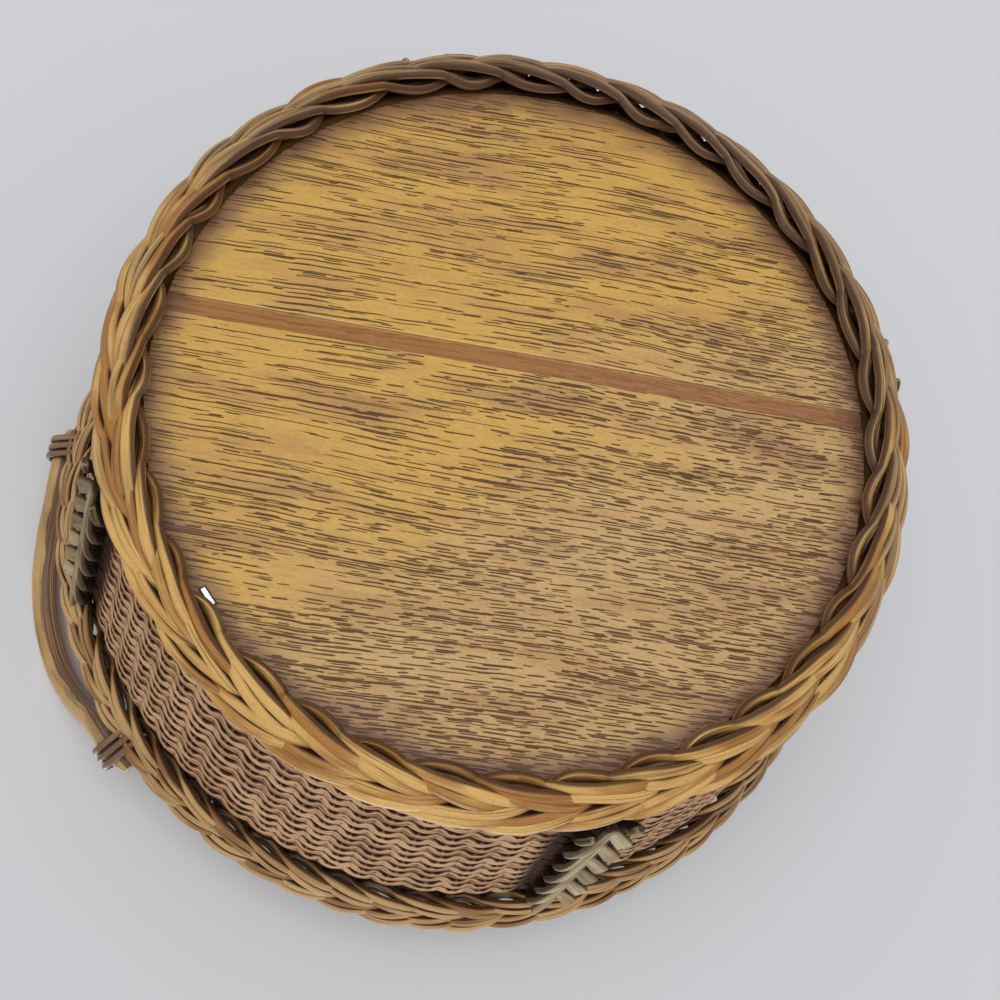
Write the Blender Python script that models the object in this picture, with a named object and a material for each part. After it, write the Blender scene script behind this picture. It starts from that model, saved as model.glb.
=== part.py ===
"""Round pie basket, standing on its foot with its mouth up.

A plywood disc is stapled up into a hoop. Round it runs a plaited foot border, on which the wall of
woven rows and upright stakes stands. The stakes carry a plaited rim border, four plaited bands lie
on the wall, and two cane ear handles are lashed to the rim. Lengths are in metres, the floor is at
zero height and the basket's axis is the Z axis.
"""

import math

import bmesh
import bpy
from mathutils import Matrix, Vector

# Clearance between pieces that touch, and how far a cutter runs past what it cuts
TOUCH_GAP = 0.0003
CUTTER_OVERRUN = 0.002

# Base disc, with one groove of the panelling that it was sawn from
DISC_RADIUS = 0.130
DISC_THICKNESS = 0.0052
DISC_EDGE_ROUND = 0.0006
DISC_SIDES = 72
GROOVE_WIDTH = 0.0072
GROOVE_DEPTH = 0.0011
GROOVE_OFFSET = 0.0200
GROOVE_TURN = math.radians(19.3)

# Staple through the disc, near its edge
STAPLE_EDGE_MARGIN = 0.0032
STAPLE_TURN = math.radians(158.4)
STAPLE_CROWN = 0.0064
STAPLE_WIRE_WIDTH = 0.0015
STAPLE_WIRE_THICKNESS = 0.0007
STAPLE_LEG = 0.0095

# Hoop on the disc, which the staple bites into
HOOP_HEIGHT = 0.0070
HOOP_WIDTH = 0.0135
HOOP_EDGE_ROUND = 0.0020
HOOP_SIDES = 36

# Foot border, a plait of three strands that leans out from the disc's edge to the wall
FOOT_DROP = 0.0125
FOOT_LEAN = math.radians(38.0)
FOOT_HALF_WIDTH = 0.0110
FOOT_HALF_THICKNESS = 0.0065
FOOT_STRAND_WIDTH = 0.0070
FOOT_STRAND_THICKNESS = 0.0042
FOOT_WAVES = 10
FOOT_STEPS = 9
FOOT_DISC_GAP = 0.0008
FOOT_FLAT_CUT = 0.0005

# Wall of woven rows
ROW_COUNT = 13
ROW_PITCH = 0.0084
ROW_RELIEF = 0.0026
WALL_THICKNESS = 0.0082
WALL_FOOT_OVERHANG = 0.0054
WALL_FLARE = 0.0140
WALL_SIDES = 48

# Stakes that rise out of the wall to the rim border
STAKE_COUNT = 48
STAKE_WIDTH = 0.0050
STAKE_THICKNESS = 0.0042
STAKE_INSET = 0.0016
STAKE_SHOWN = 0.0085
STAKE_ROOT = 0.0060

# Rim border, a plait of three strands
RIM_OVERHANG = 0.0035
RIM_LEAN = math.radians(35.0)
RIM_HALF_WIDTH = 0.0112
RIM_HALF_THICKNESS = 0.0070
RIM_STRAND_WIDTH = 0.0062
RIM_STRAND_THICKNESS = 0.0040
RIM_WAVES = 16
RIM_STEPS = 6

# Plaited bands on the wall, of four flat strands each
BAND_COUNT = 4
BAND_STRANDS = 4
BAND_HALF_WIDTH = 0.0130
BAND_HALF_THICKNESS = 0.0040
BAND_STRAND_WIDTH = 0.0058
BAND_STRAND_THICKNESS = 0.0023
BAND_HALF_WAVES = 3
BAND_FOOT_GAP = 0.0010
BAND_TOP_RUN = 0.0020
BAND_STEPS = 12

# Ear handles, bows of cane with pared ends
HANDLE_COUNT = 2
HANDLE_WIDTH = 0.0130
HANDLE_THICKNESS = 0.0115
HANDLE_RISE = 0.0340
HANDLE_REACH = 0.0076
HANDLE_HALF_TURN = math.radians(22.5)
HANDLE_TAIL = 0.0095
# How far up round the rim border, from its outer side, the handle's ends lie on it
HANDLE_SEAT_TURN = math.radians(65.0)
HANDLE_SIDES = 8

# Lashings of flat cane round each handle end and the rim border
LASHING_TURNS = 3
LASHING_PITCH = 0.0041
LASHING_WIDTH = 0.0033
LASHING_THICKNESS = 0.0013
LASHING_CLEARANCE = 0.0009
LASHING_STEPS = 20

# Corners of a flattened strand's section, as shares of its half width and half thickness
STRAND_CORNER_SHARES = ((1.0, 0.0), (0.55, 1.0), (-0.55, 1.0))
STRAP_CORNER_SHARES = ((1.0, -1.0), (1.0, 1.0))
# Size of a pared tip, as a share of the strand's or the handle's own
TIP_SHARE = 0.5
# Where the handle's bow passes: shares of its half turn, its rise and its reach
BOW_SHARES = (
    (-1.00, 0.00, 0.00),
    (-0.86, 0.00, 0.00),
    (-0.79, 0.08, 0.05),
    (-0.69, 0.31, 0.23),
    (-0.51, 0.68, 0.60),
    (-0.28, 0.93, 0.91),
    (0.00, 1.00, 1.00),
    (0.28, 0.93, 0.91),
    (0.51, 0.68, 0.60),
    (0.69, 0.31, 0.23),
    (0.79, 0.08, 0.05),
    (0.86, 0.00, 0.00),
    (1.00, 0.00, 0.00),
)
BOW_STEPS = 2

UP = Vector((0.0, 0.0, 1.0))


def clear_scene():
    for obj in list(bpy.data.objects):
        bpy.data.objects.remove(obj)


def make_material(name, colour, roughness, metallic=0.0):
    material = bpy.data.materials.new(name)
    material.use_nodes = True
    shader = material.node_tree.nodes["Principled BSDF"]
    shader.inputs["Base Color"].default_value = (*colour, 1.0)
    shader.inputs["Roughness"].default_value = roughness
    shader.inputs["Metallic"].default_value = metallic
    return material


def add_object(name, bm, material):
    """Turns a bmesh into a named piece of the basket."""
    bmesh.ops.recalc_face_normals(bm, faces=bm.faces)
    mesh = bpy.data.meshes.new(name)
    bm.to_mesh(mesh)
    bm.free()
    mesh.shade_smooth()
    mesh.set_sharp_from_angle(angle=math.radians(40.0))
    obj = bpy.data.objects.new(name, mesh)
    bpy.context.scene.collection.objects.link(obj)
    if material:
        mesh.materials.append(material)
    return obj


def add_cutter(name, bm):
    """A helper shape for a Boolean, which isn't a piece of the basket."""
    obj = add_object(name, bm, None)
    obj.hide_render = True
    obj.display_type = "WIRE"
    return obj


def add_boolean(obj, other, operation):
    modifier = obj.modifiers.new(other.name, "BOOLEAN")
    modifier.operation = operation
    modifier.object = other
    modifier.solver = "EXACT"


def add_box(bm, size, matrix):
    bmesh.ops.create_cube(bm, size=1.0, matrix=matrix @ Matrix.Diagonal((*size, 1.0)))


def around(turn):
    """The outward direction at an angle round the basket's axis."""
    return Vector((math.cos(turn), math.sin(turn), 0.0))


def along(turn):
    """The direction that runs round the basket at that angle."""
    return Vector((-math.sin(turn), math.cos(turn), 0.0))


def standing_frame(turn, origin):
    """Axes at a place on the basket: X outwards, Y round it and Z up."""
    axes = Matrix((around(turn), along(turn), UP)).transposed().to_4x4()
    return Matrix.Translation(origin) @ axes


def turned_solid(profile, sides):
    """Revolves a closed profile of (radius, height) points about the basket's axis."""
    bm = bmesh.new()
    verts = [bm.verts.new((radius, 0.0, height)) for radius, height in profile]
    edges = [bm.edges.new(pair) for pair in zip(verts, verts[1:] + verts[:1])]
    bmesh.ops.spin(
        bm,
        geom=verts + edges,
        cent=(0.0, 0.0, 0.0),
        axis=UP,
        angle=math.tau,
        steps=sides,
        use_merge=True,
        use_duplicate=False,
    )
    return bm


def turned_section(corner_shares, width, thickness):
    """Corners of a section that looks the same turned half round, from half of its corners."""
    halves = [(width / 2 * x, thickness / 2 * y) for x, y in corner_shares]
    return halves + [(-x, -y) for x, y in halves]


def oval_shares(sides):
    """Half of the corners of an oval section, as shares of its half width and thickness."""
    turns = [math.tau * i / sides for i in range(sides // 2)]
    return [(math.cos(turn), math.sin(turn)) for turn in turns]


def sweep(points, normals, section, sizes, closed):
    """Carries a section along points, its thickness along the normals. An open path is capped."""
    last = len(points) - 1
    bm = bmesh.new()
    rings = []
    for i, (point, normal, size) in enumerate(zip(points, normals, sizes)):
        before = points[i - 1] if closed or i > 0 else point
        after = points[(i + 1) % len(points)] if closed or i < last else point
        tangent = (after - before).normalized()
        lift = (normal - tangent * normal.dot(tangent)).normalized()
        side = tangent.cross(lift)
        corners = [point + (side * across + lift * out) * size for across, out in section]
        rings.append([bm.verts.new(corner) for corner in corners])
    pairs = list(zip(rings, rings[1:]))
    if closed:
        pairs.append((rings[-1], rings[0]))
    for first, second in pairs:
        for i, corner in enumerate(first):
            j = (i + 1) % len(first)
            bm.faces.new((corner, first[j], second[j], second[i]))
    if not closed:
        bm.faces.new(rings[0])
        bm.faces.new(rings[-1])
    return bm


def smooth_path(marks, steps):
    """Points on a smooth curve through the marks, a number of steps from each to the next."""
    points = []
    last = len(marks) - 1
    for i in range(last):
        a, b, c = marks[max(i - 1, 0)], marks[i], marks[i + 1]
        d = marks[min(i + 2, last)]
        for step in range(steps):
            t = step / steps
            linear = (c - a) * t
            squared = (a * 2 - b * 5 + c * 4 - d) * t**2
            cubed = (b * 3 - a - c * 3 + d) * t**3
            points.append(b + (linear + squared + cubed) / 2)
    points.append(marks[last])
    return points


class RingPlait:
    """A plait of three strands bent into a ring, whose flat face looks out and down.

    Each strand swings between the plait's two edges, and bulges out over one neighbour and in
    under the other. At the start angle a strand is at its lowest."""

    STRANDS = 3
    LOWEST_PHASE = math.radians(-100.0)

    def __init__(self, lean, half_size, strand_size, waves, steps, start):
        self.across = (math.sin(lean), math.cos(lean))
        self.out = (math.cos(lean), -math.sin(lean))
        self.width, self.thickness = strand_size
        self.swing = half_size[0] - self.width / 2
        self.bulge = half_size[1] - self.thickness / 2
        self.waves = waves
        self.steps = steps
        self.start = start

    def offset(self, phase):
        """Place of a strand's middle in the plait's section, as (radial, up)."""
        x = self.swing * math.sin(phase)
        y = self.bulge * math.sin(2 * phase)
        radial = x * self.across[0] + y * self.out[0]
        up = x * self.across[1] + y * self.out[1]
        return radial, up

    def outline(self, radius):
        """Places (radial, up) of a strand's corners from the plait's middle, in such a ring."""
        bm = self.strand(0, radius, 0.0)
        points = [(vert.co.xy.length - radius, vert.co.z) for vert in bm.verts]
        bm.free()
        return points

    def reach(self, radius, radial, up):
        """How far the plait reaches from its middle along a direction in its section."""
        return max(point[0] * radial + point[1] * up for point in self.outline(radius))

    def strand(self, index, radius, height):
        """The mesh of one strand, in a ring of this radius at this height."""
        points = []
        normals = []
        count = self.waves * self.steps
        for i in range(count):
            turn = math.tau * i / count
            phase = self.waves * (turn - self.start) + math.tau * index / self.STRANDS
            radial, up = self.offset(phase + self.LOWEST_PHASE)
            points.append(around(turn) * (radius + radial) + UP * (height + up))
            normals.append(around(turn) * self.out[0] + UP * self.out[1])
        section = turned_section(STRAND_CORNER_SHARES, self.width, self.thickness)
        return sweep(points, normals, section, [1.0] * count, True)


def band_lift(phase):
    """How a band's strand lies at a phase: 1 over a crossing, -1 under it, smooth between."""
    crossing_shares = (0.0, 0.25, 0.75, 1.0, 1.25, 1.75, 2.0)
    share = (phase / math.pi) % 2.0
    spans = zip(crossing_shares, crossing_shares[1:])
    for i, (low, high) in enumerate(spans):
        if share <= high:
            swing = math.cos(math.pi * (share - low) / (high - low))
            return swing if i % 2 == 0 else -swing
    return 1.0


# Places that follow from the sizes above
disc_bottom = FOOT_DROP
disc_top = disc_bottom + DISC_THICKNESS

foot_plait = RingPlait(
    FOOT_LEAN,
    (FOOT_HALF_WIDTH, FOOT_HALF_THICKNESS),
    (FOOT_STRAND_WIDTH, FOOT_STRAND_THICKNESS),
    FOOT_WAVES,
    FOOT_STEPS,
    0.0,
)
foot_radius = DISC_RADIUS + FOOT_DISC_GAP + foot_plait.reach(DISC_RADIUS, -1.0, 0.0)
foot_height = foot_plait.reach(foot_radius, 0.0, -1.0) - FOOT_FLAT_CUT

wall_bottom = foot_height + foot_plait.reach(foot_radius, 0.0, 1.0) + TOUCH_GAP
wall_top = wall_bottom + ROW_COUNT * ROW_PITCH
wall_foot_radius = foot_radius + WALL_FOOT_OVERHANG
wall_top_radius = wall_foot_radius + WALL_FLARE
wall_slope = WALL_FLARE / (wall_top - wall_bottom)
wall_lean = math.atan(wall_slope)

stake_top = wall_top + STAKE_SHOWN
stake_start = math.pi / STAKE_COUNT

rim_plait = RingPlait(
    RIM_LEAN,
    (RIM_HALF_WIDTH, RIM_HALF_THICKNESS),
    (RIM_STRAND_WIDTH, RIM_STRAND_THICKNESS),
    RIM_WAVES,
    RIM_STEPS,
    stake_start,
)
rim_radius = wall_top_radius + RIM_OVERHANG
rim_height = stake_top + TOUCH_GAP + rim_plait.reach(rim_radius, 0.0, -1.0)

seat_out = math.cos(HANDLE_SEAT_TURN)
seat_up = math.sin(HANDLE_SEAT_TURN)
handle_standoff = rim_plait.reach(rim_radius, seat_out, seat_up) + TOUCH_GAP
handle_standoff += math.hypot(seat_out * HANDLE_THICKNESS / 2, seat_up * HANDLE_WIDTH / 2)
handle_seat = rim_radius + seat_out * handle_standoff
handle_height = rim_height + seat_up * handle_standoff


def wall_radius(height):
    """Outer radius of the woven rows at a height."""
    return wall_foot_radius + wall_slope * (height - wall_bottom)


def build_disc(material):
    """Plywood disc with eased edges."""
    inner = DISC_RADIUS - DISC_EDGE_ROUND
    profile = (
        (0.0, disc_bottom),
        (inner, disc_bottom),
        (DISC_RADIUS, disc_bottom + DISC_EDGE_ROUND),
        (DISC_RADIUS, disc_top - DISC_EDGE_ROUND),
        (inner, disc_top),
        (0.0, disc_top),
    )
    bm = turned_solid(profile, DISC_SIDES)
    bmesh.ops.remove_doubles(bm, verts=bm.verts, dist=TOUCH_GAP / 2)
    axis_edges = [e for e in bm.edges if not e.link_faces]
    bmesh.ops.delete(bm, geom=axis_edges, context="EDGES")
    disc = add_object("base_disc", bm, material)

    groove = bmesh.new()
    size = (2 * DISC_RADIUS + CUTTER_OVERRUN, GROOVE_WIDTH, GROOVE_DEPTH + CUTTER_OVERRUN)
    origin = along(GROOVE_TURN) * -GROOVE_OFFSET
    origin += UP * (disc_bottom + (GROOVE_DEPTH - CUTTER_OVERRUN) / 2)
    add_box(groove, size, standing_frame(GROOVE_TURN, origin))
    add_boolean(disc, add_cutter("groove_cutter", groove), "DIFFERENCE")
    return disc


def build_hoop(material):
    """Rounded hoop that lies on the disc inside the wall."""
    bottom = disc_top + TOUCH_GAP
    top = bottom + HOOP_HEIGHT
    outer = wall_radius(max(bottom, wall_bottom)) - WALL_THICKNESS - TOUCH_GAP
    inner = outer - HOOP_WIDTH
    profile = (
        (inner + HOOP_EDGE_ROUND, bottom),
        (outer - HOOP_EDGE_ROUND, bottom),
        (outer, bottom + HOOP_EDGE_ROUND),
        (outer, top - HOOP_EDGE_ROUND),
        (outer - HOOP_EDGE_ROUND, top),
        (inner + HOOP_EDGE_ROUND, top),
        (inner, top - HOOP_EDGE_ROUND),
        (inner, bottom + HOOP_EDGE_ROUND),
    )
    return add_object("base_hoop", turned_solid(profile, HOOP_SIDES), material)


def build_staple(material, disc, hoop):
    """Wire staple with its crown under the disc, and its holes in the disc and the hoop."""
    crown_top = disc_bottom - TOUCH_GAP
    origin = around(STAPLE_TURN) * (DISC_RADIUS - STAPLE_EDGE_MARGIN) + UP * crown_top
    frame = standing_frame(STAPLE_TURN, origin)
    half = STAPLE_CROWN / 2
    inner = half - STAPLE_WIRE_THICKNESS
    outline = (
        (-half, -STAPLE_WIRE_THICKNESS),
        (half, -STAPLE_WIRE_THICKNESS),
        (half, STAPLE_LEG),
        (inner, STAPLE_LEG),
        (inner, 0.0),
        (-inner, 0.0),
        (-inner, STAPLE_LEG),
        (-half, STAPLE_LEG),
    )
    bm = bmesh.new()
    back = -STAPLE_WIRE_WIDTH / 2
    face = bm.faces.new([bm.verts.new((back, y, z)) for y, z in outline])
    grown = bmesh.ops.extrude_face_region(bm, geom=[face])["geom"]
    verts = [item for item in grown if isinstance(item, bmesh.types.BMVert)]
    bmesh.ops.translate(bm, verts=verts, vec=(STAPLE_WIRE_WIDTH, 0.0, 0.0))
    bmesh.ops.transform(bm, matrix=frame, verts=bm.verts)
    add_object("staple", bm, material)

    holes = bmesh.new()
    top = STAPLE_LEG + TOUCH_GAP
    size = (
        STAPLE_WIRE_WIDTH + 2 * TOUCH_GAP,
        STAPLE_WIRE_THICKNESS + 2 * TOUCH_GAP,
        top + CUTTER_OVERRUN,
    )
    for sign in (-1.0, 1.0):
        middle = (half - STAPLE_WIRE_THICKNESS / 2) * sign
        place = Matrix.Translation((0.0, middle, (top - CUTTER_OVERRUN) / 2))
        add_box(holes, size, frame @ place)
    cutter = add_cutter("staple_hole_cutter", holes)
    add_boolean(disc, cutter, "DIFFERENCE")
    add_boolean(hoop, cutter, "DIFFERENCE")


def build_ring_plait(prefix, plait, radius, height, floor, material):
    """The three strands of a border, cut flat where they would pass below the floor."""
    for index in range(plait.STRANDS):
        bm = plait.strand(index, radius, height)
        low = min(vert.co.z for vert in bm.verts)
        if low < floor:
            everything = bm.verts[:] + bm.edges[:] + bm.faces[:]
            cut = bmesh.ops.bisect_plane(
                bm,
                geom=everything,
                plane_co=UP * floor,
                plane_no=-UP,
                clear_outer=True,
            )
            rim = [item for item in cut["geom_cut"] if isinstance(item, bmesh.types.BMEdge)]
            bmesh.ops.holes_fill(bm, edges=rim)
        add_object(f"{prefix}_strand_{index + 1}", bm, material)


def build_wall(material):
    """Shell of woven rows, with the stakes that stand out of its top edge."""
    profile = [(wall_foot_radius - WALL_THICKNESS, wall_bottom)]
    for row in range(ROW_COUNT):
        seam = wall_bottom + row * ROW_PITCH
        middle = seam + ROW_PITCH / 2
        profile.append((wall_radius(seam) - ROW_RELIEF, seam))
        profile.append((wall_radius(middle), middle))
    profile.append((wall_top_radius - ROW_RELIEF, wall_top))
    profile.append((wall_top_radius - WALL_THICKNESS, wall_top))
    wall = add_object("woven_wall", turned_solid(profile, WALL_SIDES), material)

    posts = bmesh.new()
    length = STAKE_SHOWN + STAKE_ROOT
    size = (STAKE_THICKNESS, STAKE_WIDTH, length)
    middle = stake_top - length / 2
    radius = wall_radius(middle) - STAKE_INSET - STAKE_THICKNESS / 2
    for index in range(STAKE_COUNT):
        turn = stake_start + math.tau * index / STAKE_COUNT
        frame = standing_frame(turn, around(turn) * radius + UP * middle)
        shear = Matrix.Identity(4)
        shear[0][2] = wall_slope
        add_box(posts, size, frame @ shear)
    add_boolean(wall, add_cutter("stake_posts", posts), "UNION")
    return wall


def build_band(name, turn, material):
    """Four flat strands plaited up the wall, each a piece of its own."""
    swing = BAND_HALF_WIDTH - BAND_STRAND_WIDTH / 2
    bulge = BAND_HALF_THICKNESS - BAND_STRAND_THICKNESS / 2
    standoff = TOUCH_GAP + BAND_HALF_THICKNESS
    bottom = wall_bottom + BAND_FOOT_GAP
    length = wall_top + BAND_TOP_RUN - bottom
    outward = around(turn) * math.cos(wall_lean) - UP * math.sin(wall_lean)
    section = turned_section(STRAND_CORNER_SHARES, BAND_STRAND_WIDTH, BAND_STRAND_THICKNESS)
    for index in range(BAND_STRANDS):
        points = []
        for step in range(BAND_STEPS + 1):
            height = bottom + length * step / BAND_STEPS
            half_waves = BAND_HALF_WAVES * step / BAND_STEPS
            phase = math.pi * half_waves + math.tau * index / BAND_STRANDS
            place = around(turn) * wall_radius(height) + UP * height
            place -= along(turn) * swing * math.sin(phase)
            place += outward * (standoff + bulge * band_lift(phase))
            points.append(place)
        sizes = [TIP_SHARE] + [1.0] * (BAND_STEPS - 1) + [TIP_SHARE]
        normals = [outward] * len(points)
        bm = sweep(points, normals, section, sizes, False)
        add_object(f"{name}_strand_{index + 1}", bm, material)


def build_handle(name, middle_turn, material):
    """A bow of cane that springs from the rim border, with a pared tail at each end."""
    tail_share = HANDLE_TAIL / (handle_seat * HANDLE_HALF_TURN)
    ends = ((1.0 + tail_share, 0.0, 0.0),)
    shares = tuple((-s, rise, reach) for s, rise, reach in ends) + BOW_SHARES + ends
    marks = []
    for turn_share, rise, reach in shares:
        turn = middle_turn + turn_share * HANDLE_HALF_TURN
        radius = handle_seat + reach * HANDLE_REACH
        marks.append(around(turn) * radius + UP * (handle_height + rise * HANDLE_RISE))
    points = smooth_path(marks, BOW_STEPS)
    normals = [Vector((point.x, point.y, 0.0)).normalized() for point in points]
    sizes = [TIP_SHARE] + [1.0] * (len(points) - 2) + [TIP_SHARE]
    section = turned_section(oval_shares(HANDLE_SIDES), HANDLE_WIDTH, HANDLE_THICKNESS)
    add_object(name, sweep(points, normals, section, sizes, False), material)


def lashing_outline():
    """Points (radius, height) of the rim border and the handle's seat, to be lashed together."""
    strand = rim_plait.outline(rim_radius)
    points = [(rim_radius + radial, rim_height + up) for radial, up in strand]
    for height, radius in turned_section(oval_shares(HANDLE_SIDES), HANDLE_WIDTH, HANDLE_THICKNESS):
        points.append((handle_seat + radius, handle_height + height))
    return points


def build_lashing(name, turn, material):
    """Turns of flat cane round the rim border and the handle's end, wound side by side."""
    outline = lashing_outline()
    offset = LASHING_CLEARANCE + LASHING_THICKNESS / 2
    count = LASHING_TURNS * LASHING_STEPS
    points = []
    normals = []
    for i in range(count + 1):
        angle = math.pi + math.tau * i / LASHING_STEPS
        radial, up = math.cos(angle), math.sin(angle)
        radius, height = max(outline, key=lambda point: point[0] * radial + point[1] * up)
        shift = LASHING_PITCH * (i - count / 2) / LASHING_STEPS
        place = around(turn) * (radius + radial * offset) + UP * (height + up * offset)
        points.append(place + along(turn) * shift)
        normals.append(around(turn) * radial + UP * up)
    gap = min((points[i + LASHING_STEPS] - points[i]).length for i in range(count - LASHING_STEPS))
    print(f"{name}: least gap between turns {gap - LASHING_WIDTH:.5f} m")
    section = turned_section(STRAP_CORNER_SHARES, LASHING_WIDTH, LASHING_THICKNESS)
    add_object(name, sweep(points, normals, section, [1.0] * len(points), False), material)


def main():
    clear_scene()
    plywood = make_material("plywood", (0.52, 0.33, 0.12), 0.55)
    golden_rod = make_material("golden_rod", (0.46, 0.25, 0.07), 0.45)
    weaver = make_material("weaver", (0.40, 0.27, 0.18), 0.70)
    grey_strand = make_material("grey_strand", (0.36, 0.30, 0.19), 0.60)
    cane = make_material("cane", (0.45, 0.27, 0.11), 0.40)
    lashing_cane = make_material("lashing_cane", (0.33, 0.22, 0.14), 0.50)
    wire = make_material("wire", (0.80, 0.80, 0.80), 0.25, 1.0)

    disc = build_disc(plywood)
    hoop = build_hoop(golden_rod)
    build_staple(wire, disc, hoop)
    build_ring_plait("foot_border", foot_plait, foot_radius, foot_height, 0.0, golden_rod)
    build_wall(weaver)
    build_ring_plait("rim_border", rim_plait, rim_radius, rim_height, 0.0, golden_rod)
    for index in range(BAND_COUNT):
        build_band(f"wall_band_{index + 1}", math.tau * index / BAND_COUNT, grey_strand)
    lashing = 0
    for index in range(HANDLE_COUNT):
        turn = math.pi - math.tau * index / HANDLE_COUNT
        build_handle(f"ear_handle_{index + 1}", turn, cane)
        for sign in (-1.0, 1.0):
            lashing += 1
            build_lashing(f"lashing_{lashing}", turn + sign * HANDLE_HALF_TURN, lashing_cane)


main()
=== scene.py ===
import math
import random

import bmesh
import bpy
from mathutils import Matrix, Vector


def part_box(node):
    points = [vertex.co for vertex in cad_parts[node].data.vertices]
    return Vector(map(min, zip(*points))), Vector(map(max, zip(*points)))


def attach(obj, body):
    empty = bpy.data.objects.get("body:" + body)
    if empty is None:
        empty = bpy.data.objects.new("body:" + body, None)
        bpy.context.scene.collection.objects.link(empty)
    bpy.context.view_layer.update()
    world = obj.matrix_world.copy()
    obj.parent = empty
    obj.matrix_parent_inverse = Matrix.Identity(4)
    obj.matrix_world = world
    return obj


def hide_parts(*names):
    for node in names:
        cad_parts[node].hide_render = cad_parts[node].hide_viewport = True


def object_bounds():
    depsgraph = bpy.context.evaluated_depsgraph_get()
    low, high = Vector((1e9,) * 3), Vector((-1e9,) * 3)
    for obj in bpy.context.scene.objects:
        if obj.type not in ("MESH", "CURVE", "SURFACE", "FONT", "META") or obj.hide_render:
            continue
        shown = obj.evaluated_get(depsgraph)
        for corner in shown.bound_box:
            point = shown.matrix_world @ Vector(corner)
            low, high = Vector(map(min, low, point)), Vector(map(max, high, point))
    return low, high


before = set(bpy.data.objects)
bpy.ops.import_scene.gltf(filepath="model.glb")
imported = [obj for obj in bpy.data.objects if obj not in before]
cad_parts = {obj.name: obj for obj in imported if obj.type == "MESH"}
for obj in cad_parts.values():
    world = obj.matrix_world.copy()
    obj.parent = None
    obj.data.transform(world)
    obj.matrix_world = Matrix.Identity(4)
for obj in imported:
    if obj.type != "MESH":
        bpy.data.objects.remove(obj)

cad_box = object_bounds()

# Base disc
# A round sawn from grooved panelling plywood, varnished golden, with open brown pores along the
# grain and darker towards its edge. Its colour carries painted shade, partly stain, where it tucks
# under the border, a painted highlight along one groove edge and a painted shadow round the
# staple. It lies inside the foot border, its grooved face down.


class Shade:
    """A value that varies over a surface. Arithmetic on it adds Math nodes to its finish."""

    def __init__(self, finish, socket):
        self.finish = finish
        self.socket = socket

    def __add__(self, other):
        return self.finish.reckon("ADD", self, other)

    def __sub__(self, other):
        return self.finish.reckon("SUBTRACT", self, other)

    def __rsub__(self, other):
        return self.finish.reckon("SUBTRACT", other, self)

    def __mul__(self, other):
        return self.finish.reckon("MULTIPLY", self, other)

    def __abs__(self):
        return self.finish.reckon("ABSOLUTE", self)

    __radd__ = __add__


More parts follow.
